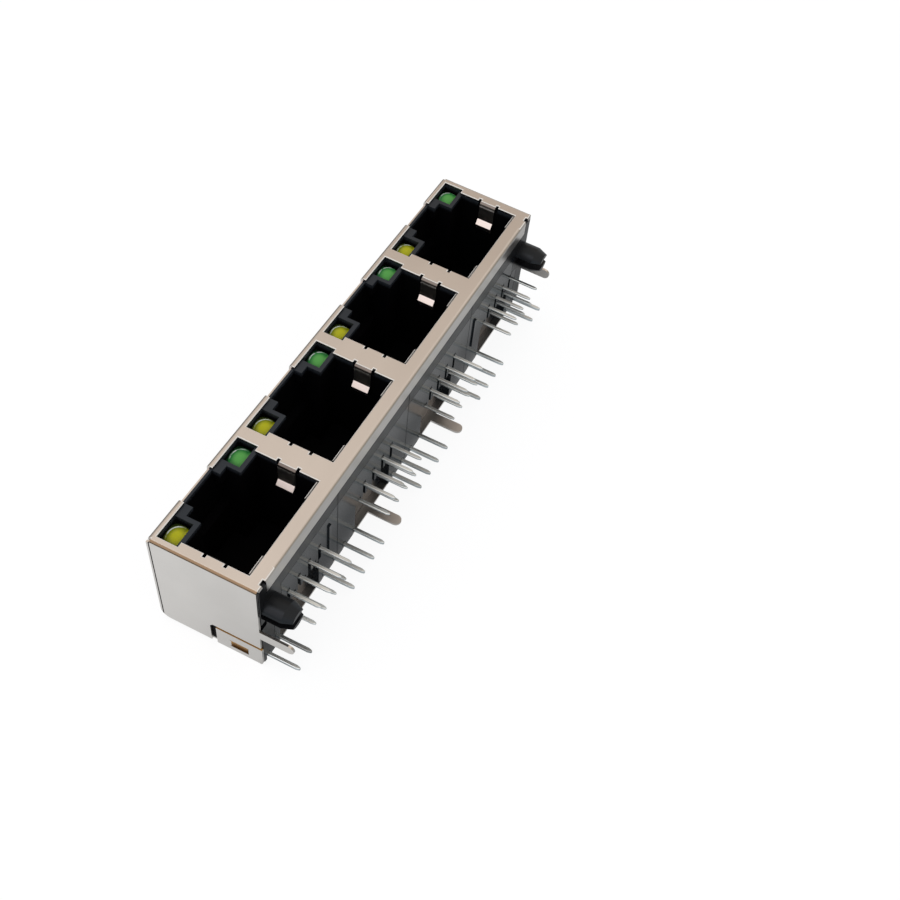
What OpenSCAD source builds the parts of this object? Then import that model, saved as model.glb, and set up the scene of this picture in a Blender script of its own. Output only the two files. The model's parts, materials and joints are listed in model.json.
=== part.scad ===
// Shielded board jack with a row of modular ports, two indicator lamps in each port.
// The jack rests on its back: ports open along +Z, the circuit board lies against the +X side.

/* [Row of ports] */
// Number of ports in the row
port_count = 4; // [2:1:6]
// Distance between neighbouring port centres
port_pitch = 13.97; // [13.8:0.01:15]
// How far the plastic housing reaches past the lamp recess of an end port
end_reach = 0.44; // [0.41:0.01:1.3]

/* [Body] */
// Height over the board, from the top plate to the board side
body_h = 11; // [10.8:0.1:12.5]
// Depth from the back plate to the front face
body_d = 13.2; // [13:0.1:16]
// How far tails and board tabs reach past the board side
tail_len = 3.4; // [2.4:0.1:4.5]

/* [Sheet metal] */
// Thickness of the shield sheet
sheet_t = 0.25; // [0.2:0.01:0.3]
// Outside radius of the folds
fold_r = 0.35; // [0.3:0.05:0.7]
// Gap between the shield and the housing
fit_gap = 0.05; // [0.03:0.01:0.1]
// Open seam between neighbouring edges of the sheet
seam = 0.1; // [0.06:0.01:0.15]
// Length of the lip folded over the board side
lip_len = 1.8; // [1.2:0.1:2.2]
// Distance of the lip's ends from the end panels
lip_inset = 1.5; // [1:0.1:2.5]
// Thickness of the spring fingers
finger_t = 0.2; // [0.15:0.01:0.22]
// Width of a spring finger
finger_w = 1.8; // [1.2:0.1:2.2]
// Centre of a spring finger, from the top plate
finger_from_top = 6.2; // [5.4:0.05:6.8]
// How far a finger springs into the port
finger_bulge = 0.7; // [0.5:0.05:1]
// Depth at which a finger turns into the port
finger_turn_d = 2.3; // [2:0.1:2.6]
// Length of the slope that faces the plug
finger_slope_d = 0.5; // [0.4:0.05:0.6]
// How far a finger's tip springs back to the wall
finger_back = 0.35; // [0.2:0.05:0.45]
// Gap between a finger and the wall of the cavity
finger_gap = 0.15; // [0.12:0.01:0.2]
// Depth of a finger
finger_d = 3.6; // [3:0.1:4.2]
// Width of the relief notches beside a finger
relief_w = 0.3; // [0.2:0.05:0.4]
// Depth of the relief notches
relief_d = 0.35; // [0.25:0.05:0.4]
// Width of the small tabs folded into the board side of each mouth
mouth_tab_w = 2.1; // [1.4:0.1:2.4]
// Centre of a mouth tab, from the port centre
mouth_tab_y = 4.55; // [4.2:0.05:4.7]
// Depth of the mouth tabs
mouth_tab_d = 1.3; // [1:0.05:1.35]

/* [End panels] */
// Width of the gap that parts the flap from the panel
flap_gap = 0.36; // [0.25:0.01:0.5]
// Depth of the flap folded from the back plate
flap_d = 3; // [2.6:0.1:3.2]
// Start of the open slit, from the top plate
slit_from_top = 5.5; // [4.8:0.1:6]
// Width of the open slit
slit_w = 0.6; // [0.4:0.05:0.8]
// Start of the lance in the flap, from the top plate
lance_from_top = 7.5; // [7.2:0.1:8]
// Length of the lance
lance_len = 2; // [1.6:0.1:2.2]
// Width of the lance
lance_w = 0.6; // [0.5:0.05:0.65]
// Distance of the lance from the back
lance_z = 1.25; // [1.25:0.05:1.6]
// How far the lance is bent inwards
lance_bend = 0.28; // [0.2:0.01:0.3]
// Corner radius of the panels at the back
panel_corner_r = 1; // [0.8:0.05:1.2]
// Corner radius of the flaps
flap_corner_r = 0.7; // [0.5:0.05:0.9]
// Clearance round a lance in its opening
lance_gap = 0.06; // [0.04:0.01:0.1]
// Width of the board tabs
tab_w = 1.2; // [0.9:0.1:1.5]
// Centre of the end board tabs, from the back
end_tab_z = 5.8; // [5:0.1:6.5]
// Offset of the rear board tabs from their port centre
rear_tab_y = -0.43; // [-1:0.01:1]

/* [Port opening] */
// Width of the mouth in the shield
mouth_w = 11.5; // [11:0.05:11.6]
// Start of the mouth, from the top plate
mouth_from_top = 2.74; // [2.6:0.01:2.9]
// End of the mouth, from the board side
mouth_end = 1.5; // [1.3:0.05:1.8]
// Width of the lamp window in the shield
lamp_window_w = 12.58; // [12.5:0.02:12.7]
// Start of the lamp window, from the top plate
lamp_window_from_top = 0.61; // [0.5:0.01:0.65]
// Width of the latch notch in the shield
latch_notch_w = 4.36; // [4.2:0.02:4.6]
// Depth of the latch notch in the top plate
latch_notch_d = 0.7; // [0.6:0.05:0.9]
// Width of the plug cavity in the plastic
cavity_w = 11.6; // [11.55:0.05:11.7]
// Start of the plug cavity, from the top plate
cavity_from_top = 2.95; // [2.9:0.01:3.1]
// Floor of the plug cavity, from the board side
cavity_end = 1.55; // [1.5:0.05:1.7]
// Width of the step for the plug's latch
latch_step_w = 6.3; // [6.1:0.05:6.6]
// Start of that step, from the top plate
latch_step_from_top = 1.45; // [1.4:0.01:1.6]
// Width of the groove for the latch tongue
latch_groove_w = 4.2; // [3.6:0.05:4.3]
// Start of that groove, from the top plate
latch_groove_from_top = 0.6; // [0.55:0.01:0.8]
// Thickness of the catch that the latch snaps behind
catch_t = 1.5; // [1.2:0.1:2]
// Length of the pocket behind the catch
catch_pocket_d = 4; // [3:0.1:5]

/* [Indicator lamps] */
// Near side of a lamp recess, from the port centre
recess_near = 3.6; // [3.55:0.01:3.65]
// Far side of a lamp recess, from the port centre
recess_far = 6.29; // [6.27:0.01:6.35]
// Start of the lamp recess, from the top plate
recess_from_top = 0.65; // [0.6:0.01:0.75]
// End of the lamp recess, from the top plate
recess_end = 2.5; // [2.45:0.01:2.6]
// Depth of the lamp recess
recess_d = 4.5; // [4.2:0.1:5]
// Width of the lens
lens_w = 2.3; // [1.9:0.05:2.4]
// Height of the lens
lens_h = 1.7; // [1.45:0.05:1.7]
// Length of the lamp from its base to its crown
lamp_len = 4; // [3.8:0.1:4.2]
// Radius of the domed crown
crown_r = 2.2; // [1.8:0.1:4]
// Thickness of the lamp's base flange
flange_t = 1; // [0.8:0.1:1.4]
// Thickness of the lamp leads
lead_t = 0.4; // [0.35:0.01:0.42]
// Distance of the near lead from the port centre
lead_near = 4; // [3.95:0.01:4.05]
// Distance of the far lead from the port centre
lead_far = 6.05; // [6:0.01:6.06]
// Distance of the lead tails from the back
lead_z = 0.95; // [0.9:0.01:0.98]
// Width of the slots for the leads
lead_slot_w = 0.56; // [0.54:0.01:0.6]

/* [Contacts] */
// Contacts in a port
contact_count = 8; // [6:2:8]
// Distance between neighbouring contact springs
spring_pitch = 1.02; // [1:0.01:1.06]
// Distance between neighbouring tails, over both rows
tail_pitch = 0.91; // [0.89:0.01:1]
// Width of a contact
contact_w = 0.4; // [0.34:0.01:0.42]
// Thickness of a contact
contact_t = 0.25; // [0.2:0.01:0.27]
// Rear row of tails, from the back
tail_rear_z = 5.05; // [5:0.05:5.2]
// Front row of tails, from the back
tail_front_z = 6.7; // [6.6:0.05:6.9]
// Slope of the contact springs
spring_slope = 17; // [14:0.5:19]
// Radius of the contacts' bend from the tail to the floor
tail_bend_r = 0.35; // [0.3:0.01:0.36]
// Radius of the contacts' bend at the mouth
spring_bend_r = 0.4; // [0.35:0.01:0.45]
// Distance of that bend's centre from the front face
spring_bend_d = 2; // [1.9:0.05:2.2]
// Depth of the contact grooves in the cavity floor
groove_d = 0.5; // [0.45:0.01:0.55]
// Width of the contact slots
slot_w = 0.5; // [0.48:0.01:0.52]

/* [Carriers and board side] */
// Thickness of a carrier's rear wall
rear_wall_t = 2; // [1.9:0.05:2.2]
// Depth of the comb grooves in the rear wall
comb_d = 1; // [0.8:0.05:1]
// Front end of the carriers, from the front face
carrier_end = 3.45; // [3.2:0.05:3.6]
// Length of the contacts' jog to the spring pitch
jog_len = 0.7; // [0.6:0.05:0.8]
// Gap between neighbouring carriers
carrier_gap = 0.08; // [0.05:0.01:0.12]
// Offset of the carriers' joints from the middle between two ports
joint_shift = -0.47; // [-0.6:0.01:-0.4]
// Near edge of the pocket round the tails, from the port centre
pocket_from = -3.95; // [-4:0.01:-3.9]
// Far edge of the pocket, from the port centre
pocket_to = 3; // [2.9:0.01:3.2]
// Inner end of the pocket, from the back
pocket_end = 4.74; // [4.6:0.01:4.78]
// Depth of the pocket
pocket_d = 0.9; // [0.6:0.05:0.95]
// Inner end of the long comb slots, from the back
long_slot_end = 7.1; // [7:0.01:7.2]
// Width of the housing's end blocks beside the carriers
end_block = 1.9; // [1.8:0.05:1.95]
// Width of the blocks that carry the pegs
peg_block = 3.3; // [3.25:0.05:3.5]
// Start of the peg blocks, from the front face
peg_block_z = 6.1; // [6:0.05:6.2]
// Radius of the split pegs
peg_r = 1.375; // [1.2:0.005:1.4]
// Radius at the tips of the pegs
peg_tip_r = 1; // [0.8:0.05:1.1]
// Length of the pegs
peg_len = 2.9; // [2.4:0.1:3.2]
// Length of the taper at the peg tips
peg_taper = 1; // [0.7:0.1:1.4]
// Centre of a peg, from the end of the housing
peg_in = 1.42; // [1.4:0.01:1.6]
// Centre of a peg, from the front face
peg_z = 4.45; // [4.3:0.05:4.6]
// Width of the split in a peg
peg_split = 0.9; // [0.7:0.05:0.95]
// Width of the recess beside an end board tab, from the end of the housing
tab_recess_w = 0.8; // [0.6:0.05:1]
// Length of that recess, which ends short of the peg's root
tab_recess_len = 0.9; // [0.5:0.05:1.1]
// Depth of that recess
tab_recess_d = 0.6; // [0.4:0.05:0.9]
// Height of the stand-off ribs
rib_h = 0.15; // [0.1:0.01:0.2]
// Width of the stand-off ribs
rib_w = 0.4; // [0.3:0.05:0.6]

/* [Hidden] */
$fn = 64;
fold_steps = 5;
overcut = 1;
weld = 0.02;
fold_root = 3;
peg_root = 0.5;
end_cut = 2 * (fold_root + overcut);
metal = "#cbb9aa";
plastic = "#2b2c30";
carrier_plastic = "#34363a";
tin = "#c9c6c0";
gold = "#caa552";
clear_green = "#50a055";
clear_yellow = "#b4b423";

top = -body_h / 2;
board = body_h / 2;
tip = board + tail_len;
row_half = (port_count - 1) * port_pitch / 2;
housing_half = row_half + recess_far + end_reach;
half_len = housing_half + fit_gap + sheet_t;
front_in = body_d - sheet_t - fit_gap;
back_in = sheet_t + fit_gap;
top_in = top + sheet_t + fit_gap;
panel_back = flap_d + flap_gap;
floor_x = board - cavity_end;
sill_x = board - mouth_end;
carrier_front = body_d - carrier_end;
peg_centre = body_d - peg_z;
mid = sheet_t / 2;
fold_mid = fold_r - mid;
lens_y = (recess_near + recess_far) / 2;
lead_x = top + (recess_from_top + recess_end) / 2 + lead_t;
run_x = floor_x + (groove_d + contact_t) / 2;
bend_z = body_d - spring_bend_d;
jog_from = carrier_front + 2 * fit_gap;
jog_to = jog_from + jog_len;
spring_end_z = back_in + rear_wall_t - comb_d + 0.3;
trough_half = contact_count * spring_pitch / 2 + 0.2;
trough_d = groove_d + 0.3;
comb_over = 0.6;
// Stand-off ribs: port number and offset from that port's centre
ribs = [[0, 4.95], [port_count - 1, -6.16]];
rib_from = 4.1;
rib_short = 1.55;
rib_to = carrier_front - rib_short;

function port_y(p) = (p - (port_count - 1) / 2) * port_pitch;

function arc(c, r, a0, a1, n = fold_steps) =
    [for (i = [0:n]) let (a = a0 + (a1 - a0) * i / n) [c[0] + r * cos(a), c[1] + r * sin(a)]];

// Outline of a strip of constant thickness along a path, with mitred bends
function unit(v) = v / norm(v);
function left_of(v) = [-v[1], v[0]];
function side_of(path, i) =
    i == 0 ? left_of(unit(path[1] - path[0]))
    : i == len(path) - 1 ? left_of(unit(path[i] - path[i - 1]))
    : let (m = left_of(unit(path[i] - path[i - 1])) + left_of(unit(path[i + 1] - path[i])))
        m * 2 / (m * m);
function strip(path, t) = concat(
    [for (i = [0:len(path) - 1]) path[i] + side_of(path, i) * t / 2],
    [for (i = [len(path) - 1:-1:0]) path[i] - side_of(path, i) * t / 2]
);

// A profile drawn in X and Z, stretched along Y about y
module along_y(w, y = 0) {
    translate([0, y, 0]) rotate([90, 0, 0]) linear_extrude(w, center = true) children();
}

// A profile drawn in Y and Z, stretched along X from x
module along_x(x, w) {
    translate([x, 0, 0]) rotate([90, 0, 90]) linear_extrude(w) children();
}

module block(x0, x1, y0, y1, z0, z1) {
    translate([x0, y0, z0]) cube([x1 - x0, y1 - y0, z1 - z0]);
}

// Both ends of the row
module ends() {
    for (s = [-1, 1]) scale([1, s, 1]) children();
}

// Lip, front face, top plate and back plate: one folded strip
module wrap() {
    path = concat(
        [[board - mid, body_d - lip_len]],
        arc([board - fold_r, body_d - fold_r], fold_mid, 0, 90),
        arc([top + fold_r, body_d - fold_r], fold_mid, 90, 180),
        arc([top + fold_r, fold_r], fold_mid, 180, 270),
        [[board - seam, mid]]
    );
    along_y(2 * (half_len - sheet_t - seam)) polygon(strip(path, sheet_t));
}

// Front face turned into an end panel
module end_wrap() {
    path = concat(
        [[half_len - fold_root, body_d - mid]],
        arc([half_len - fold_r, body_d - fold_r], fold_mid, 90, 0),
        [[half_len - mid, 0]]
    );
    intersection() {
        along_x(top + fold_r, body_h - fold_r - seam) polygon(strip(path, sheet_t));
        along_y(end_cut, half_len) panel_outline();
    }
    intersection() {
        along_x(top, fold_r + weld)
            polygon(strip([[half_len - mid, body_d - fold_r], [half_len - mid, 0]], sheet_t));
        along_y(end_cut, half_len) panel_outline();
    }
    along_y(sheet_t, half_len - mid) board_tab(end_tab_z, tab_w, board - 1);
}

// End panel without its flap, seen along Y
module panel_outline() {
    slit_end = top + slit_from_top + slit_w;
    polygon(concat(
        [[board, body_d + overcut], [top, body_d + overcut]],
        arc([top + panel_corner_r, sheet_t + seam + panel_corner_r], panel_corner_r, 180, 270),
        [[top + slit_from_top, sheet_t + seam],
         [top + slit_from_top, flap_d],
         [slit_end - slit_w / 2, panel_back],
         [board, panel_back]]
    ));
}

// Round-ended tab that passes through the board
module board_tab(z, w, from) {
    polygon(concat(
        [[from, z + w / 2]],
        arc([tip - w / 2, z], w / 2, 90, -90, 10),
        [[from, z - w / 2]]
    ));
}

// Flap folded from the back plate against the end of the housing
module flap() {
    start = top + slit_from_top + slit_w;
    path = concat(
        [[half_len - fold_root, mid]],
        arc([half_len - fold_r, fold_r], fold_mid, -90, 0),
        [[half_len - mid, flap_d]]
    );
    difference() {
        intersection() {
            along_x(start, board - start) polygon(strip(path, sheet_t));
            along_y(end_cut, half_len) polygon(concat(
                [[start, -overcut], [start, flap_d], [board, flap_d]],
                arc([board - flap_corner_r, flap_corner_r], flap_corner_r, 0, -70),
                [[board - flap_corner_r, -overcut]]
            ));
        }
        block(top + lance_from_top, top + lance_from_top + lance_len,
            half_len - fold_r, half_len + overcut, lance_z, lance_z + lance_w);
    }
    translate([0, 0, lance_z + lance_gap]) linear_extrude(lance_w - 2 * lance_gap) polygon(strip([
        [top + lance_from_top - 0.1, half_len - mid],
        [top + lance_from_top + 0.1, half_len - mid],
        [top + lance_from_top + sheet_t + 0.1, half_len - mid - lance_bend],
        [top + lance_from_top + lance_len - 0.15, half_len - mid - lance_bend]
    ], sheet_t));
}

// Opening of one port in the front face
module window() {
    z0 = body_d - fold_r - overcut;
    z1 = body_d + overcut;
    block(top - overcut, top + lamp_window_from_top + weld,
        -latch_notch_w / 2, latch_notch_w / 2, body_d - latch_notch_d, z1);
    block(top + lamp_window_from_top, top + mouth_from_top + weld,
        -lamp_window_w / 2, lamp_window_w / 2, z0, z1);
    block(top + mouth_from_top, sill_x, -mouth_w / 2, mouth_w / 2, z0, z1);
    for (k = [-1, 1]) translate([top + finger_from_top + k * (finger_w + relief_w) / 2, 0, 0])
        block(-relief_w / 2, relief_w / 2, -mouth_w / 2 - relief_d, mouth_w / 2 + relief_d, z0, z1);
}

// Spring finger on the +Y side of a mouth: straight down the wall, a slope into the port, and the tip
module finger() {
    edge = mouth_w / 2;
    root = edge + relief_d;
    wall = cavity_w / 2 - finger_gap - finger_t / 2;
    inner = edge - finger_bulge + finger_t / 2;
    flat = body_d - finger_t / 2;
    path = [
        [root + 0.1, flat], [edge + 0.1, flat],
        [(edge + wall) / 2, flat - finger_t], [wall, flat - 2.5 * finger_t],
        [wall, body_d - finger_turn_d], [inner, body_d - finger_turn_d - finger_slope_d],
        [inner + finger_back, body_d - finger_d]
    ];
    along_x(top + finger_from_top - finger_w / 2, finger_w) polygon(strip(path, finger_t));
}

// Small tab folded into the board side of a mouth
module mouth_tab() {
    x = sill_x - mid;
    path = concat(
        [[sill_x + fold_r, body_d - mid]],
        arc([x + fold_mid, body_d - mid - fold_mid], fold_mid, 90, 180),
        [[x, body_d - mouth_tab_d]]
    );
    along_y(mouth_tab_w, mouth_tab_y) polygon(strip(path, sheet_t));
}

module shield() {
    color(metal) {
        difference() {
            union() {
                wrap();
                ends() {
                    end_wrap();
                    flap();
                }
            }
            for (p = [0:port_count - 1]) translate([0, port_y(p), 0]) window();
            // the lip stops short of the ends, and its corner is notched
            ends() block(board - sheet_t - weld, board + overcut,
                half_len - lip_inset, half_len - sheet_t - seam + weld, 0, body_d - sheet_t - seam);
            ends() block(board - fold_r, board + overcut, half_len - lip_inset, half_len - lip_inset + 0.6,
                body_d - fold_r - lip_inset, body_d + overcut);
        }
        for (p = [0:port_count - 1]) translate([0, port_y(p), 0]) ends() {
            finger();
            mouth_tab();
        }
        for (p = [1:1:port_count - 2]) translate([0, port_y(p) + rear_tab_y, 0])
            linear_extrude(sheet_t) board_tab(0, tab_w, board - 1);
    }
}

// Section of the tunnel that takes a plug, drawn in X and Y, smaller by g on every side
module plug_section(g = 0) {
    c = cavity_w / 2 - g;
    s = latch_step_w / 2 - g;
    x0 = top + latch_step_from_top + g;
    x1 = top + cavity_from_top + g;
    x2 = floor_x - g;
    polygon([[x0, -s], [x1, -s], [x1, -c], [x2, -c], [x2, c], [x1, c], [x1, s], [x0, s]]);
}

// Everything that one port takes out of the housing
module port_cuts() {
    translate([0, 0, back_in - overcut]) linear_extrude(body_d + 2 * overcut) plug_section();
    block(top + latch_groove_from_top, top + latch_step_from_top + weld,
        -latch_groove_w / 2, latch_groove_w / 2, front_in - catch_t - weld, body_d + overcut);
    block(top + latch_groove_from_top, top + latch_step_from_top + weld,
        -latch_step_w / 2, latch_step_w / 2, front_in - catch_t - catch_pocket_d, front_in - catch_t);
    ends() {
        block(top + recess_from_top, top + recess_end, recess_near, recess_far,
            front_in - recess_d, body_d + overcut);
        for (y = [lead_near, lead_far]) {
            block(lead_x - lead_slot_w / 2, lead_x + lead_slot_w / 2,
                y - lead_slot_w / 2, y + lead_slot_w / 2, back_in - overcut, front_in - recess_d + weld);
            block(lead_x - lead_slot_w / 2, board + overcut, y - lead_slot_w / 2, y + lead_slot_w / 2,
                back_in - overcut, lead_z + lead_slot_w / 2);
        }
        // relief behind the root of a spring finger and round a mouth tab
        translate([top + finger_from_top, 0, 0]) block(-finger_w / 2 - relief_w, finger_w / 2 + relief_w,
            cavity_w / 2 - weld, mouth_w / 2 + relief_d + 0.1, front_in - 0.5, body_d + overcut);
        block(floor_x - weld, sill_x + fit_gap + 0.1,
            mouth_tab_y - mouth_tab_w / 2 - 0.1, mouth_tab_y + mouth_tab_w / 2 + 0.1,
            body_d - mouth_tab_d - 0.2, body_d + overcut);
        block(floor_x - weld, sill_x + fold_r + 0.1,
            mouth_tab_y - mouth_tab_w / 2 - 0.1, mouth_tab_y + mouth_tab_w / 2 + 0.1,
            body_d - fold_r - 0.1, body_d + overcut);
    }
    // trough for the bends of the contacts
    block(floor_x - weld, floor_x + trough_d, -trough_half, trough_half,
        carrier_front - weld, bend_z + spring_bend_r + contact_t + 0.15);
}

// Ends of the board side that belong to the housing, grown by g towards the carriers
module end_blocks(g = 0) {
    ends() {
        block(floor_x - overcut, board + overcut, housing_half - end_block - g, housing_half + overcut,
            -overcut, carrier_front + overcut);
        block(floor_x - overcut, board + overcut, housing_half - peg_block - g, housing_half + overcut,
            body_d - peg_block_z - g, carrier_front + overcut);
    }
}

// Split peg that snaps into the board
module peg() {
    difference() {
        translate([board - peg_root, 0, 0]) rotate([0, 90, 0]) union() {
            cylinder(r = peg_r, h = peg_len - peg_taper + peg_root);
            translate([0, 0, peg_len - peg_taper + peg_root - weld])
                cylinder(r1 = peg_r, r2 = peg_tip_r, h = peg_taper);
        }
        block(board, tip + overcut, -2 * peg_r, 2 * peg_r, -peg_split / 2, peg_split / 2);
    }
}

module housing() {
    color(plastic) {
        difference() {
            block(top_in, board, -housing_half, housing_half, back_in, front_in);
            for (p = [0:port_count - 1]) translate([0, port_y(p), 0]) port_cuts();
            // seat of the carriers
            difference() {
                block(floor_x, board + overcut, -housing_half - overcut, housing_half + overcut,
                    -overcut, carrier_front);
                end_blocks();
            }
            // rebate under the lip of the shield
            block(board - sheet_t - fit_gap, board + overcut, -half_len + lip_inset - 2 * fit_gap,
                half_len - lip_inset + 2 * fit_gap, body_d - lip_len - 2 * fit_gap, body_d);
            block(board - fold_r - fit_gap, board + overcut, -housing_half - overcut, housing_half + overcut,
                body_d - fold_r - fit_gap, body_d);
            // moulded line between neighbouring ports
            for (p = [1:port_count - 1]) translate([0, port_y(p) - port_pitch / 2 + joint_shift, 0])
                block(board - 0.1, board + overcut, -carrier_gap / 2, carrier_gap / 2,
                    carrier_front - weld, body_d - lip_len);
            // recesses beside the end board tabs, room for the lances and for the folds of the panels
            ends() {
                translate([0, 0, end_tab_z + tab_w / 2]) block(board - tab_recess_d, board + overcut,
                    housing_half - tab_recess_w, housing_half + overcut, 0, tab_recess_len);
                block(top + lance_from_top - 0.1, top + lance_from_top + lance_len + 0.1,
                    housing_half - lance_bend - fit_gap, housing_half + overcut,
                    lance_z, lance_z + lance_w);
                block(top, board + overcut, housing_half + sheet_t - fold_r, housing_half + overcut,
                    body_d - fold_r - fit_gap, body_d);
                block(top, board + overcut, housing_half + sheet_t - fold_r, housing_half + overcut,
                    -overcut, fold_r + fit_gap);
            }
            block(top, top + fold_r + fit_gap, -half_len, half_len, -overcut, fold_r + fit_gap);
            block(top, top + fold_r + fit_gap, -half_len, half_len, body_d - fold_r - fit_gap, body_d);
        }
        ends() translate([0, housing_half - peg_in, peg_centre]) peg();
    }
}

// Contact carrier: floor with the comb for the tails, and the rear wall of the port
module carrier(p) {
    y0 = port_y(p);
    from = p == 0 ? -housing_half - y0 : -port_pitch / 2 + joint_shift + carrier_gap / 2;
    to = p == port_count - 1 ? housing_half - y0 : port_pitch / 2 + joint_shift - carrier_gap / 2;
    color(carrier_plastic) difference() {
        union() {
            translate([0, y0, 0]) {
                block(floor_x, board, from, to, back_in, carrier_front - fit_gap);
                translate([0, 0, back_in]) linear_extrude(rear_wall_t) plug_section(fit_gap);
                block(floor_x - fit_gap - weld, floor_x + weld,
                    -cavity_w / 2 + fit_gap, cavity_w / 2 - fit_gap, back_in, back_in + rear_wall_t);
            }
            for (r = ribs) if (r[0] == p) translate([0, y0 + r[1], 0])
                block(board - rib_h, board + rib_h, -rib_w / 2, rib_w / 2, rib_from, rib_to);
        }
        end_blocks(fit_gap);
        translate([0, y0, 0]) {
            block(board - pocket_d, board + overcut, pocket_from, pocket_to, -overcut, pocket_end);
            ends() for (y = [lead_near, lead_far])
                block(top, board + overcut, y - lead_slot_w / 2, y + lead_slot_w / 2,
                    -overcut, lead_z + lead_slot_w / 2);
            for (c = [1:contact_count]) {
                // through slot for the tail, and groove along the floor
                translate([0, tail_y(c), 0]) {
                    block(floor_x - overcut, board + overcut, -slot_w / 2, slot_w / 2, pocket_end - weld,
                        is_front(c) ? long_slot_end : tail_rear_z + tail_bend_r + fit_gap);
                    block(floor_x - weld, floor_x + groove_d, -slot_w / 2, slot_w / 2,
                        tail_z(c), carrier_front + overcut);
                }
                // groove of the comb that guides the end of the spring
                translate([0, spring_y(c), 0])
                    block(spring_end_x - comb_over, floor_x + weld, -slot_w / 2, slot_w / 2,
                        back_in + rear_wall_t - comb_d, back_in + rear_wall_t + overcut);
            }
        }
    }
}

// Plan of a tail of width w that narrows to its tip
function chisel(w) = [
    [top, -w], [tip - w, -w], [tip - w, -w / 2], [tip, -w / 4],
    [tip, w / 4], [tip - w, w / 2], [tip - w, w], [top, w]
];
function is_front(c) = c % 2 == 0;
function tail_z(c) = is_front(c) ? tail_front_z : tail_rear_z;
function tail_y(c) = (c - (contact_count + 1) / 2) * tail_pitch;
function spring_y(c) = (c - (contact_count + 1) / 2) * spring_pitch;
spring_start = [
    run_x - spring_bend_r + spring_bend_r * cos(180 - spring_slope),
    bend_z + spring_bend_r * sin(180 - spring_slope)
];
spring_end_x = spring_start[0] - (spring_start[1] - spring_end_z) * tan(spring_slope);

// Contact: tail, run along the floor, jog to the spring pitch, bend and spring
module contact(p, c) {
    z = tail_z(c);
    tail = concat(
        [[tip, z]],
        arc([run_x + tail_bend_r, z + tail_bend_r], tail_bend_r, 270, 180),
        [[run_x, jog_from]]
    );
    spring = concat(
        [[run_x, jog_to]],
        arc([run_x - spring_bend_r, bend_z], spring_bend_r, 0, 180 - spring_slope, 10),
        [[spring_end_x, spring_end_z]]
    );
    color(gold) translate([0, port_y(p - 1), 0]) {
        intersection() {
            along_y(contact_w, tail_y(c)) polygon(strip(tail, contact_t));
            translate([0, tail_y(c), 0]) linear_extrude(body_d) polygon(chisel(contact_w));
        }
        hull() for (e = [[tail_y(c), jog_from], [spring_y(c), jog_to]])
            translate([run_x, e[0], e[1]]) cube([contact_t, contact_w, weld], center = true);
        along_y(contact_w, spring_y(c)) polygon(strip(spring, contact_t));
    }
}

// Lamp: flange and lens with a domed crown, on the +Y side of the port
module lamp_body() {
    x0 = top + (recess_from_top + recess_end) / 2;
    z0 = front_in - recess_d + 0.2;
    flange_w = recess_far - recess_near - 0.14;
    flange_h = recess_end - recess_from_top - 0.2;
    translate([x0, lens_y, z0]) {
        translate([-flange_h / 2, -flange_w / 2, 0]) cube([flange_h, flange_w, flange_t]);
        intersection() {
            translate([-lens_h / 2, -lens_w / 2, flange_t - weld]) cube([lens_h, lens_w, lamp_len]);
            union() {
                translate([0, 0, lamp_len - crown_r]) sphere(r = crown_r);
                translate([-lens_h, -lens_w, 0]) cube([2 * lens_h, 2 * lens_w, lamp_len - crown_r]);
            }
        }
    }
}

// The two leads of a lamp, bent down to the board behind the port
module lead_pair() {
    z0 = front_in - recess_d + 0.2;
    path = concat(
        [[lead_x, z0]],
        arc([lead_x + lead_t, lead_z + lead_t], lead_t, 180, 270),
        [[tip, lead_z]]
    );
    for (y = [lead_near, lead_far]) intersection() {
        along_y(lead_t, y) polygon(strip(path, lead_t));
        translate([0, y, 0]) linear_extrude(body_d) polygon(chisel(lead_t));
    }
}

module lamp(p, k) {
    color(k == "green" ? clear_green : clear_yellow)
        translate([0, port_y(p - 1), 0]) scale([1, k == "green" ? 1 : -1, 1]) lamp_body();
}

module leads(p, k) {
    color(tin) translate([0, port_y(p - 1), 0]) scale([1, k == "green" ? 1 : -1, 1]) lead_pair();
}

shield();
housing();
for (p = [1:port_count]) {
    carrier(p - 1);
    for (c = [1:contact_count])
        contact(p, c);
    for (k = ["green", "yellow"]) {
        lamp(p, k);
        leads(p, k);
    }
}
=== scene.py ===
import bpy
import bmesh
import json
import math
from mathutils import Matrix, Vector


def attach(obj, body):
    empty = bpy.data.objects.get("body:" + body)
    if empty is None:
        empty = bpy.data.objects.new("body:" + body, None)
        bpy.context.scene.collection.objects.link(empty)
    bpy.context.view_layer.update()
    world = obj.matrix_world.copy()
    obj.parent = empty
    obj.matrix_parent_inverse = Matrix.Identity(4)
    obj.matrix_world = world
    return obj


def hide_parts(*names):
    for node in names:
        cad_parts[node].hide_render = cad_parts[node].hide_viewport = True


# X runs from the latch side to the board side, Y along the row of ports, Z from the back to the front
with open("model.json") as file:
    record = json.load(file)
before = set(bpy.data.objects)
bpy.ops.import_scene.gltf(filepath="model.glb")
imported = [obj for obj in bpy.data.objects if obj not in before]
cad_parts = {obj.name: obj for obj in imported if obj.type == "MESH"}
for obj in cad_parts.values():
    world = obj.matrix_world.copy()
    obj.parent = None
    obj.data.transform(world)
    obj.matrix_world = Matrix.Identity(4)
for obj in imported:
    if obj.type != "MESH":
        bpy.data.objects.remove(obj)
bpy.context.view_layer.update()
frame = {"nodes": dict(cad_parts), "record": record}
nodes = frame["nodes"]
mm = 0.001
portPitch = 13.97 * mm
print("stage: frame loaded,", len(nodes), "nodes")


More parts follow.
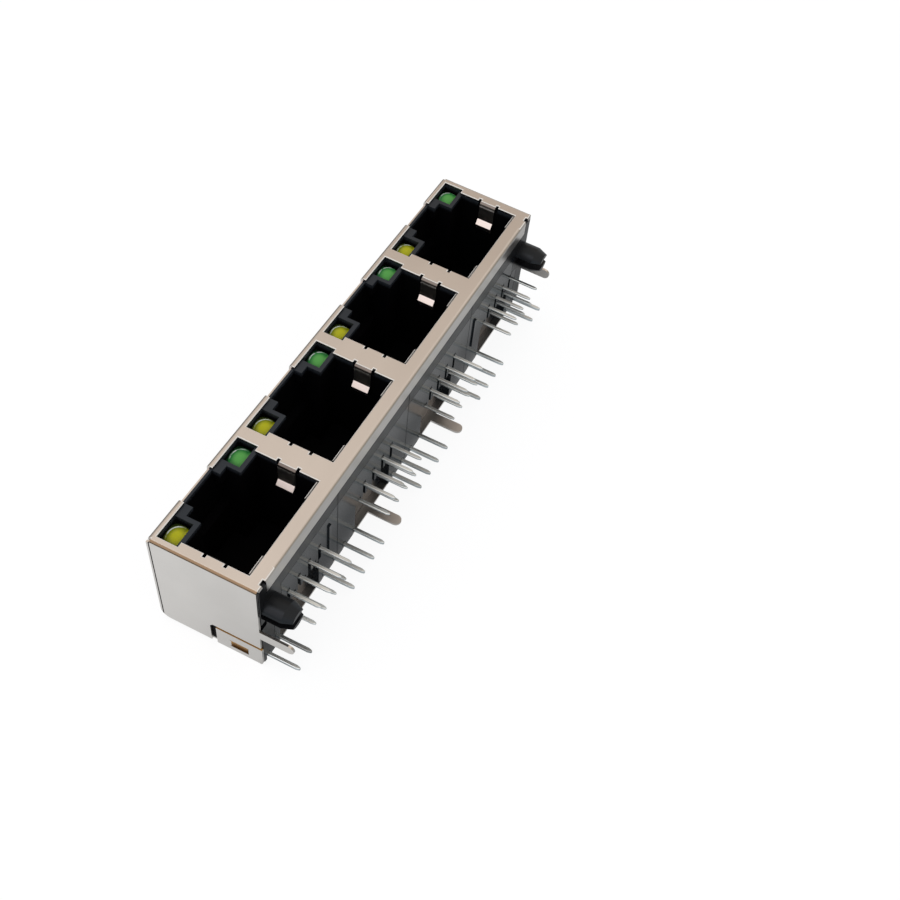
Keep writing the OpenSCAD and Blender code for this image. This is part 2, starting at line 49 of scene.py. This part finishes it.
# One output socket, so that shader maths reads as Python
class Wire:
    def __init__(self, paint, socket):
        self.paint = paint
        self.socket = socket

    def maths(self, operation, *values):
        return self.paint.node("ShaderNodeMath", {"operation": operation}, dict(enumerate(values)))

    def __add__(self, other):
        return self.maths("ADD", self, other)

    def __radd__(self, other):
        return self.maths("ADD", other, self)

    def __sub__(self, other):
        return self.maths("SUBTRACT", self, other)

    def __rsub__(self, other):
        return self.maths("SUBTRACT", other, self)

    def __mul__(self, other):
        return self.maths("MULTIPLY", self, other)

    def __rmul__(self, other):
        return self.maths("MULTIPLY", other, self)

    def __truediv__(self, other):
        return self.maths("DIVIDE", self, other)

    def __rtruediv__(self, other):
        return self.maths("DIVIDE", other, self)

    def __pow__(self, other):
        return self.maths("POWER", self, other)

    def __rpow__(self, other):
        return self.maths("POWER", other, self)

    def __abs__(self):
        return self.maths("ABSOLUTE", self)

    def above(self, limit):
        return self.maths("GREATER_THAN", self, limit)

    def between(self, low, high):
        return self.above(low) * (1 - self.above(high))


# The node tree of one material or of the world
class Paint:
    def __init__(self, tree):
        self.tree = tree
        self.tree.nodes.clear()

    def node(self, kind, settings, inputs, output=0):
        made = self.tree.nodes.new(kind)
        for name, value in settings.items():
            setattr(made, name, value)
        for name, value in inputs.items():
            if isinstance(value, Wire):
                self.tree.links.new(value.socket, made.inputs[name])
            else:
                made.inputs[name].default_value = value
        return Wire(self, made.outputs[output]) if len(made.outputs) else made

    def place(self):
        return self.node("ShaderNodeTexCoord", {}, {}, "Object")

    def parts(self, vector):
        x = self.node("ShaderNodeSeparateXYZ", {}, {0: vector})
        return [Wire(self, socket) for socket in x.socket.node.outputs]

    def ray(self, kind):
        return self.node("ShaderNodeLightPath", {}, {}, kind)

    def ramp(self, value, low, high):
        return self.node("ShaderNodeMapRange", {"interpolation_type": "SMOOTHSTEP"},
                         {"Value": value, "From Min": low, "From Max": high})

    def mixed(self, factor, first, second):
        return self.node("ShaderNodeMix", {"data_type": "RGBA"}, {0: factor, 6: first, 7: second}, 2)

    def noise(self, vector, scale, detail=2.0, stretch=(1, 1, 1)):
        moved = self.node("ShaderNodeVectorMath", {"operation": "MULTIPLY"}, {0: vector, 1: stretch})
        return self.node("ShaderNodeTexNoise", {}, {"Vector": moved, "Scale": scale, "Detail": detail})

    def bump(self, height, strength, distance):
        return self.node("ShaderNodeBump", {},
                         {"Height": height, "Strength": strength, "Distance": distance})

    def shader(self, inputs):
        return self.node("ShaderNodeBsdfPrincipled", {}, inputs)

    def blend(self, factor, first, second):
        return self.node("ShaderNodeMixShader", {}, {0: factor, 1: first, 2: second})

    def surface(self, shown):
        self.node("ShaderNodeOutputMaterial", {}, {"Surface": shown})


def material(name):
    made = bpy.data.materials.new(name)
    made.use_nodes = True
    return made, Paint(made.node_tree)


# Shield: plated sheet, with painted shade on the folds inside the mouths and a painted tan reflection
# along the bends at both ends

sheetLook = {
    "colour": (0.60, 0.585, 0.565, 1),
    "shade": (0.565, 0.55, 0.53, 1),
    "patches": {"scale": 160.0, "stretch": (1, 0.35, 1)},
    "patchSpan": (0.35, 0.7),
    "grain": {"scale": 2600.0, "stretch": (1, 0.05, 1)},  # rolling marks along the row
    "bump": {"strength": 0.03, "distance": 0.02 * mm},
    "rough": 0.27,
    "grainRough": 0.06,
    # colour of the painted shade on the folds inside the mouths
    "paintedFoldShade": (0.14, 0.13, 0.12, 1),
    "foldSpan": (12.75 * mm, 13.18 * mm),  # height of the folds of fingers and mouth tabs
    "foldX": 5.2 * mm,
    "foldY": 27.6 * mm,
    # colour of the painted reflection along the bends at both ends
    "bend": (0.23, 0.17, 0.11, 1),
    "bendSpan": (12.93 * mm, 13.18 * mm),
    "bendY": (27.75 * mm, 27.97 * mm),
}


def sheetPaint():
    look = sheetLook
    made, paint = material("shieldMetal")
    place = paint.place()
    x, y, z = paint.parts(place)
    patches = paint.noise(place, **look["patches"])
    grain = paint.noise(place, **look["grain"])
    colour = paint.mixed(paint.ramp(patches, *look["patchSpan"]), look["colour"], look["shade"])
    # painted shade: the folds of the fingers and mouth tabs inside the mouths are darkened
    inMouths = (1 - abs(x).above(look["foldX"])) * (1 - abs(y).above(look["foldY"]))
    colour = paint.mixed(z.between(*look["foldSpan"]) * inMouths, colour, look["paintedFoldShade"])
    # painted reflection: a dark tan line along the bends between the front and the end panels
    atEnds = z.between(*look["bendSpan"]) * abs(y).between(*look["bendY"])
    colour = paint.mixed(atEnds, colour, look["bend"])
    paint.surface(paint.shader({"Base Color": colour, "Metallic": 1.0,
                                "Roughness": look["rough"] + grain * look["grainRough"],
                                "Normal": paint.bump(grain, **look["bump"])}))
    return made


# Bare alloy in the lances and on the edges of the flaps, with painted shade darkening it towards the
# back

rawLook = {
    # light is the lit alloy at the front, dark the painted shade towards the back of the lance openings
    "light": (0.50, 0.28, 0.09, 1),
    "dark": (0.10, 0.042, 0.008, 1),
    "span": (1.1 * mm, 1.9 * mm),
    "shine": 0.1,
    "rough": 0.45,
    "streaks": {"scale": 3000.0},
    "streakRough": 0.1,
}


def rawPaint():
    look = rawLook
    made, paint = material("rawAlloy")
    place = paint.place()
    x, y, z = paint.parts(place)
    # painted shade: darker towards the back, lighter towards the front
    colour = paint.mixed(paint.ramp(z, *look["span"]), look["dark"], look["light"])
    streaks = paint.noise(place, **look["streaks"])
    paint.surface(paint.shader({"Base Color": colour, "Specular IOR Level": look["shine"],
                                "Roughness": look["rough"] + streaks * look["streakRough"]}))
    return made


# Painted highlight: a near-white glint on the cut edges round the windows of the front and on the folds
# of the mouth tabs

edgeGlintLook = {"colour": (0.95, 0.91, 0.84, 1), "rough": 0.45, "wear": {"scale": 1500.0}, "wearRough": 0.15}


def edgeGlintPaint():
    made, paint = material("cutEdgeGlint")
    wear = paint.noise(paint.place(), **edgeGlintLook["wear"])
    paint.surface(paint.shader({"Base Color": edgeGlintLook["colour"],
                                "Roughness": edgeGlintLook["rough"] + wear * edgeGlintLook["wearRough"]}))
    return made


# Black mouldings, with painted shade making them deeper in tone towards the board and nearly lightless
# inside the mouths

plasticLooks = {
    # under is painted shade on the board side: darker for the housing, the carrier's own colour for the
    # carrier
    "housingPlastic": {"colour": (0.022, 0.026, 0.032, 1), "under": (0.006, 0.006, 0.007, 1),
                       "rough": 0.28, "shine": 0.3, "grain": 0.12},
    "carrierPlastic": {"colour": (0.007, 0.010, 0.013, 1), "under": (0.007, 0.010, 0.013, 1),
                       "rough": 0.12, "shine": 0.25, "grain": 0.05},
}
plasticSkin = {
    "tint": (0.74, 0.88, 1.0, 1),
    "texture": {"scale": 9000.0, "detail": 3.0},
    "depth": 0.02 * mm,
    "patches": {"scale": 500.0},
    "patchRough": 0.1,
}
# painted shade: the plastic inside the mouths is painted nearly lightless
mouthShadeLook = {
    "colour": (0.0015, 0.0015, 0.002, 1),
    "rough": 0.55,
    "shine": 0.04,
    "floor": 4.2 * mm,  # nothing on the board side of this is inside a mouth
    "span": (12.2 * mm, 12.85 * mm),
}


def plasticPaint(name):
    look = plasticLooks[name]
    made, paint = material(name)
    place = paint.place()
    x, y, z = paint.parts(place)
    texture = paint.noise(place, **plasticSkin["texture"])
    patches = paint.noise(place, **plasticSkin["patches"])
    below = x.above(mouthShadeLook["floor"])
    # painted shade: darker tone on the board side
    outer = paint.shader({"Base Color": paint.mixed(below, look["colour"], look["under"]),
                          "Roughness": look["rough"] + patches * plasticSkin["patchRough"],
                          "Specular IOR Level": look["shine"], "Specular Tint": plasticSkin["tint"],
                          "Normal": paint.bump(texture, look["grain"], plasticSkin["depth"])})
    # painted shade inside the mouths
    paintedMouthShade = paint.shader({"Base Color": mouthShadeLook["colour"], "Roughness": mouthShadeLook["rough"],
                          "Specular IOR Level": mouthShadeLook["shine"]})
    inMouths = (1 - paint.ramp(z, *mouthShadeLook["span"])) * (1 - below)
    paint.surface(paint.blend(inMouths, outer, paintedMouthShade))
    return made


# Contacts and lamp leads: gold springs, tinned tails

contactLook = {
    "gold": (0.80, 0.60, 0.26, 1),
    "goldEnd": 3.0 * mm,
    "tin": (0.64, 0.71, 0.74, 1),
    "streak": (0.34, 0.37, 0.38, 1),
    "streaks": {"scale": 300.0, "stretch": (0.35, 1, 1)},
    "streakSpan": (0.45, 0.75),
    "rough": 0.3,
    "streakRough": 0.1,
}


def pinPaint(name, gilded):
    look = contactLook
    made, paint = material(name)
    place = paint.place()
    streaks = paint.ramp(paint.noise(place, **look["streaks"]), *look["streakSpan"])
    colour = paint.mixed(streaks, look["tin"], look["streak"])
    if gilded:
        x, y, z = paint.parts(place)
        colour = paint.mixed(x.above(look["goldEnd"]), look["gold"], colour)
    paint.surface(paint.shader({"Base Color": colour, "Metallic": 1.0,
                                "Roughness": look["rough"] + streaks * look["streakRough"]}))
    return made


# Lamp lenses: painted light and shade, a lit body fading into a painted dark rim, with a painted
# highlight, a broken crescent of light on the latch side

lensLook = {
    "at": 4.945 * mm,  # middle of a lens, from the middle of its port
    "height": -3.925 * mm,
    "across": 1.15 * mm,
    "over": 0.85 * mm,
    "middle": (0.3, -0.2),  # of the glow, over and across
    "squash": 1.15,
    "bodyShadeSpan": (0.35, 0.95),
    "topSpan": (0.55, 0.8),
    "rimShadeSpan": (1.04, 1.16),
    "bandSpan": (0.9, 0.98),
    "bandEnd": (1.04, 1.12),
    "glintOver": (-0.35, 0.6),
    "glintAcross": (-0.75, -0.2),
    "breaks": {"scale": 2600.0},
    "breakSpan": (0.3, 0.55),
    "glint": (0.80, 0.86, 0.80, 1),
    "rough": 0.1,
    "shine": 0.2,
}
# each lens tint in a painted lit tone, a painted shaded tone and a painted dark rim
lensTones = {
    "lensGreen": {"light": (0.10, 0.40, 0.08, 1), "shadedBody": (0.03, 0.22, 0.05, 1),
                  "rim": (0.006, 0.035, 0.010, 1), "side": 1},
    "lensYellow": {"light": (0.50, 0.49, 0.008, 1), "shadedBody": (0.22, 0.25, 0.008, 1),
                   "rim": (0.030, 0.045, 0.008, 1), "side": -1},
}


def lensPaint(name):
    look = lensLook
    tone = lensTones[name]
    made, paint = material(name)
    place = paint.place()
    x, y, z = paint.parts(place)
    share = paint.node("ShaderNodeMath", {"operation": "FRACT"}, {0: y / portPitch})
    local = (share - 0.5) * portPitch
    across = (local - tone["side"] * look["at"]) / look["across"]
    over = (x - look["height"]) / look["over"]
    away = ((over - look["middle"][0]) ** 2 / look["squash"] + (across - look["middle"][1]) ** 2) ** 0.5
    # painted light and shade across the lens body, then a painted dark rim and a painted highlight
    body = paint.mixed(paint.ramp(away, *look["bodyShadeSpan"]), tone["light"], tone["shadedBody"])
    body = paint.mixed(paint.ramp(over, *look["topSpan"]), body, tone["light"])
    body = paint.mixed(paint.ramp(away, *look["rimShadeSpan"]), body, tone["rim"])
    band = paint.ramp(away, *look["bandSpan"]) * (1 - paint.ramp(away, *look["bandEnd"]))
    broken = paint.ramp(paint.noise(place, **look["breaks"]), *look["breakSpan"])
    lit = (1 - paint.ramp(over, *look["glintOver"])) * paint.ramp(across, *look["glintAcross"])
    colour = paint.mixed(band * lit * broken, body, look["glint"])
    paint.surface(paint.shader({"Base Color": colour, "Roughness": look["rough"],
                                "Specular IOR Level": look["shine"]}))
    return made


paints = {
    "shield_metal": sheetPaint(),
    "housing_plastic": plasticPaint("housingPlastic"),
    "carrier_plastic": plasticPaint("carrierPlastic"),
    "contact_metal": pinPaint("contactMetal", True),
    "lead_metal": pinPaint("leadMetal", False),
    "lens_green": lensPaint("lensGreen"),
    "lens_yellow": lensPaint("lensYellow"),
}
slots = {entry["node"]: entry["material_slot"] for entry in frame["record"]["subparts"]}
for name, thing in nodes.items():
    thing.data.materials.clear()
    thing.data.materials.append(paints[slots[name]])
print("stage: materials made")


# Shield details: spans are in mm, as X, Y without its sign, Z. Slots 1 to 3 of the shield's mesh
# hold the bare alloy, the cut edges and mouth-tab folds with a painted highlight, and the housing's
# plastic

bareSlot, glintSlot, plasticSlot = 1, 2, 3
lance = {
    "bare": ((1.95, 4.05), (27.2, 27.97), (0.85, 2.02)),
    "backEdge": {"span": ((1.9, 4.1), (27.4, 28.0), (1.24, 1.32)), "move": -0.35 * mm},
    "frontEdge": {"span": ((1.9, 4.1), (27.4, 28.0), (1.78, 1.86)), "move": 0.12 * mm},
    "tongue": {"span": ((2.2, 3.9), (27.4, 27.72), (0.9, 2.0)), "move": 0.16 * mm},
}
flapSlot = {"span": ((-6.0, 6.0), (27.6, 28.1), (2.95, 3.45)), "facing": 0.9}
# the upper half of each mouth tab's fold gets the painted highlight
mouthFold = {"span": ((3.6, 4.4), (3.4, 5.7), (12.82, 13.13)), "lean": -0.25}  # Y from the port's middle
rim = {"width": 0.08 * mm, "front": 13.2 * mm, "slack": 0.01 * mm, "wallTilt": 0.1}
seam = {"from": -5.30 * mm, "to": -5.18 * mm, "depth": 0.12 * mm, "panel": 27.97 * mm}
facing = 0.99  # how squarely a face looks along an axis


def inside(values, span):
    return all(low * mm < value < high * mm for value, (low, high) in zip(values, span))


def mirrored(point):
    return point.x, abs(point.y), point.z


def stretchLances(shape):
    for edge in (lance["backEdge"], lance["frontEdge"]):
        moved = [vert for vert in shape.verts if inside(mirrored(vert.co), edge["span"])]
        bmesh.ops.translate(shape, verts=moved, vec=(0, 0, edge["move"]))
    tongue = lance["tongue"]
    for end in (-1, 1):
        moved = [vert for vert in shape.verts
                 if end * vert.co.y > 0 and inside(mirrored(vert.co), tongue["span"])]
        bmesh.ops.translate(shape, verts=moved, vec=(0, end * tongue["move"], 0))


def markBareFaces(shape):
    for face in shape.faces:
        middle = face.calc_center_median()
        inPort = abs(middle.y % portPitch - portPitch / 2)
        if inside(mirrored(middle), lance["bare"]):
            face.material_index = bareSlot
        if inside(mirrored(middle), flapSlot["span"]) and abs(face.normal.z) > flapSlot["facing"]:
            face.material_index = bareSlot
        # painted highlight on the folds of the mouth tabs
        if face.normal.x < mouthFold["lean"] and inside((middle.x, inPort, middle.z), mouthFold["span"]):
            face.material_index = glintSlot


def onWindowRim(edge):
    if len(edge.link_faces) != 2 or min(vert.co.z for vert in edge.verts) < rim["front"] - rim["slack"]:
        return False
    slopes = sorted(abs(face.normal.z) for face in edge.link_faces)
    return slopes[0] < rim["wallTilt"] and slopes[1] > facing


def bevelWindowRims(shape):
    rims = [edge for edge in shape.edges if onWindowRim(edge)]
    made = bmesh.ops.bevel(shape, geom=rims, offset=rim["width"], offset_type="OFFSET",
                           affect="EDGES", segments=1, profile=0.5, material=-1)
    # painted highlight on the bevelled window rims
    for face in made["faces"]:
        face.material_index = glintSlot
    print("stage: window rims,", len(rims), "edges")


def onEndPanel(face):
    return abs(face.normal.y) > facing and abs(face.calc_center_median().y) > seam["panel"]


def sinkSeams(shape):  # the groove between the top plate and each end panel
    for cut in (seam["from"], seam["to"]):
        around = {}  # keeps its order, so each run cuts alike
        for face in shape.faces:
            if onEndPanel(face):
                around.update(dict.fromkeys([face, *face.edges, *face.verts]))
        bmesh.ops.bisect_plane(shape, geom=list(around), plane_co=(cut, 0, 0), plane_no=(1, 0, 0))
    strip = [face for face in shape.faces
             if onEndPanel(face) and seam["from"] < face.calc_center_median().x < seam["to"]]
    bmesh.ops.inset_region(shape, faces=strip, thickness=0.0, depth=-seam["depth"])
    for face in strip:
        face.material_index = plasticSlot
    print("stage: seams,", len(strip), "faces")


# Merged copies of all pieces, with their edges broken so that they catch the light. Angles in degrees

edgeBreaks = {
    "shield": {"width": 0.04 * mm, "segments": 2, "angle": 50},
    "housing": {"width": 0.05 * mm, "segments": 1, "angle": 35},
    "carrier": {"width": 0.03 * mm, "segments": 1, "angle": 35},
    "lamp": {"width": 0.12 * mm, "segments": 3, "angle": 35},
    "leads": {"width": 0.13 * mm, "segments": 3, "angle": 50},
    "contact": {"width": 0.10 * mm, "segments": 3, "angle": 50},
}
merging = {"gap": 0.0005 * mm, "flat": 0.5}
smoothing = {"turn": 35, "besideBroad": 4, "broad": 0.6 * mm * mm}


def smoothFaces(shape):
    for face in shape.faces:
        face.smooth = True
    for edge in shape.edges:
        turn = math.degrees(edge.calc_face_angle(math.pi))
        broad = max(face.calc_area() for face in edge.link_faces) > smoothing["broad"]
        edge.smooth = turn < smoothing["turn"] and not (broad and turn > smoothing["besideBroad"])


def edgedCopy(name, width, segments, angle):
    mesh = nodes[name].data.copy()
    mesh.name = name + "Edged"
    shape = bmesh.new()
    shape.from_mesh(mesh)
    bmesh.ops.remove_doubles(shape, verts=shape.verts, dist=merging["gap"])
    bmesh.ops.dissolve_limit(shape, angle_limit=math.radians(merging["flat"]),
                             verts=shape.verts, edges=shape.edges)
    bmesh.ops.recalc_face_normals(shape, faces=shape.faces)
    if name == "shield":
        for paint in (rawPaint(), edgeGlintPaint(), paints["housing_plastic"]):
            mesh.materials.append(paint)
        stretchLances(shape)
        markBareFaces(shape)
        bevelWindowRims(shape)
        sinkSeams(shape)
    smoothFaces(shape)
    shape.to_mesh(mesh)
    shape.free()
    piece = bpy.data.objects.new(name + "Edged", mesh)
    bpy.context.scene.collection.objects.link(piece)
    bevel = piece.modifiers.new("edges", "BEVEL")
    bevel.width = width
    bevel.segments = segments
    bevel.limit_method = "ANGLE"
    bevel.angle_limit = math.radians(angle)
    bevel.harden_normals = True
    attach(piece, "root")
    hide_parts(name)


for name in nodes:
    edgedCopy(name, **edgeBreaks[name.split("_")[0]])
print("stage: pieces copied with broken edges")


# Floor: white to the camera, apart from the shadow. The sheet mirrors it at lower levels by place

floorLook = {
    "size": 1.2,
    "drop": 0.02 * mm,
    "plain": (0.86, 0.86, 0.86, 1),
    "white": 1.1,
    "whiteShare": 0.8,
    "boardSide": (4.5 * mm, 6.5 * mm),
    "nearEnd": -28.5 * mm,  # the board side dims from here on
    "latchSide": (12 * mm, 18 * mm),
    "sideLevel": 0.4,
    "card": (7.2 * mm, 8.4 * mm),  # lights the lip
    "cardLevel": 0.3,
    "slope": (-10 * mm, 6 * mm),  # across the end panel
    "slopeTop": 0.91,
    "slopeDrop": 0.13,
    "foot": (-33 * mm, -28 * mm),
    "footDrop": 0.07,
    "far": (0.05, 0.14),
    "farLevel": 0.3,
}


def floorPaint():
    look = floorLook
    made, paint = material("floorWhite")
    plain = paint.node("ShaderNodeBsdfDiffuse", {}, {"Color": look["plain"]})
    glow = paint.node("ShaderNodeEmission", {}, {"Color": (1, 1, 1, 1), "Strength": look["white"]})
    dark = paint.node("ShaderNodeEmission", {}, {"Color": (1, 1, 1, 1), "Strength": 0.0})
    seen = (paint.ray("Is Camera Ray") + paint.ray("Is Transmission Ray")) * look["whiteShare"]
    place = paint.place()
    x, y, z = paint.parts(place)
    distance = paint.node("ShaderNodeVectorMath", {"operation": "LENGTH"}, {0: place}, "Value")
    sides = paint.ramp(x, *look["boardSide"]) * y.above(look["nearEnd"])
    sides = sides + paint.ramp(0 - x, *look["latchSide"])
    level = 1 - sides * (1 - look["sideLevel"]) + paint.ramp(x, *look["card"]) * look["cardLevel"]
    slope = look["slopeTop"] - paint.ramp(x, *look["slope"]) * look["slopeDrop"]
    slope = slope - paint.ramp(y, *look["foot"]) * (1 - y.above(0)) * look["footDrop"]
    far = 1 - paint.ramp(distance, *look["far"]) * (1 - look["farLevel"])
    mirroredFloor = paint.blend(level * far * slope, dark, glow)
    paint.surface(paint.blend(paint.ray("Is Glossy Ray"), paint.blend(seen, plain, glow), mirroredFloor))
    return made


def makeFloor():
    shape = bmesh.new()
    bmesh.ops.create_grid(shape, x_segments=1, y_segments=1, size=floorLook["size"])
    bmesh.ops.translate(shape, verts=shape.verts, vec=(0, 0, -floorLook["drop"]))
    mesh = bpy.data.meshes.new("floor")
    shape.to_mesh(mesh)
    shape.free()
    mesh.materials.append(floorPaint())
    floor = bpy.data.objects.new("floor", mesh)
    bpy.context.scene.collection.objects.link(floor)


makeFloor()


# Sky: white to the camera, soft grey as light, and zones that only the gloss of the pieces mirrors

sky = {
    "white": (1, 1, 1, 1),
    "soft": (0.78, 0.78, 0.80, 1),
    "side": (0.97, 0.99, 1.0, 1),
    "warm": (1.09, 0.94, 0.82, 1),
    "rise": (0.2, 0.6),  # from side to warm
}
skyZones = {
    "farFront": {"at": (-0.24, 0.80, 0.55), "span": (0.945, 1.0), "colour": (0.58, 0.45, 0.35, 1)},
    "fingers": {"at": (-0.32, -0.75, 0.575), "span": (0.86, 0.94), "colour": (1.60, 1.38, 1.34, 1)},
    "topBend": {"at": (-0.85, 0.52, 0.05), "span": (0.70, 0.95), "colour": (0.34, 0.29, 0.25, 1)},
    "lipBend": {"at": (0.80, 0.55, 0.20), "span": (0.75, 0.95), "colour": (0.42, 0.36, 0.28, 1)},
}


def makeSky():
    world = bpy.data.worlds.new("studio")
    world.use_nodes = True
    bpy.context.scene.world = world
    paint = Paint(world.node_tree)
    way = paint.node("ShaderNodeTexCoord", {}, {}, "Generated")
    x, y, z = paint.parts(way)
    shown = paint.mixed(paint.ramp(z, *sky["rise"]), sky["side"], sky["warm"])
    for zone in skyZones.values():
        near = paint.node("ShaderNodeVectorMath", {"operation": "DOT_PRODUCT"},
                          {0: way, 1: zone["at"]}, "Value")
        shown = paint.mixed(paint.ramp(near, *zone["span"]), shown, zone["colour"])
    shown = paint.mixed(paint.ray("Is Glossy Ray"), sky["soft"], shown)
    seen = paint.ray("Is Camera Ray") + paint.ray("Is Transmission Ray")
    shown = paint.mixed(seen, shown, sky["white"])
    light = paint.node("ShaderNodeBackground", {}, {"Color": shown, "Strength": 1.0})
    paint.node("ShaderNodeOutputWorld", {}, {"Surface": light})


makeSky()


# Lamp: one weak key, which gives the shadow

lamp = {
    "at": (-0.06, -0.21, 0.27),
    "aim": (0, 0, 6 * mm),
    "size": 0.12,
    "power": 0.04,
    "colour": (1.0, 0.98, 0.96),
}


def makeLamp():
    light = bpy.data.lights.new("key", "AREA")
    light.shape = "SQUARE"
    light.size = lamp["size"]
    light.energy = lamp["power"]
    light.color = lamp["colour"]
    key = bpy.data.objects.new("key", light)
    bpy.context.scene.collection.objects.link(key)
    turn = (Vector(lamp["aim"]) - Vector(lamp["at"])).to_track_quat("-Z", "Y")
    key.matrix_world = Matrix.Translation(lamp["at"]) @ turn.to_matrix().to_4x4()


makeLamp()


# Camera, solved from the photograph. Focal length and centre are in pixels of the square frame

view = {
    "right": (0.8968996, 0.4226684, 0.1300865),
    "down": (0.4176648, -0.7129103, -0.5633071),
    "forward": (-0.1453522, 0.5595625, -0.8159427),
    "at": (36.1656 * mm, -69.1498 * mm, 100.1459 * mm),
    "focal": 1173.176,
    "centre": (511.84, 513.09),
    "frame": 900,
    "sensor": 36.0,
    "clip": (0.002, 10.0),
}


def makeCamera():
    data = bpy.data.cameras.new("camera")
    data.sensor_fit = "HORIZONTAL"
    data.sensor_width = view["sensor"]
    data.lens = view["focal"] * view["sensor"] / view["frame"]
    data.shift_x = 0.5 - view["centre"][0] / view["frame"]
    data.shift_y = view["centre"][1] / view["frame"] - 0.5
    data.clip_start, data.clip_end = view["clip"]
    camera = bpy.data.objects.new("camera", data)
    bpy.context.scene.collection.objects.link(camera)
    right, down, forward = Vector(view["right"]), Vector(view["down"]), Vector(view["forward"])
    turn = Matrix((right, -down, -forward)).transposed().to_4x4()
    camera.matrix_world = Matrix.Translation(view["at"]) @ turn
    bpy.context.scene.camera = camera


makeCamera()
bpy.context.scene.view_settings.view_transform = "Standard"
print("stage: floor, sky, lamp and camera")
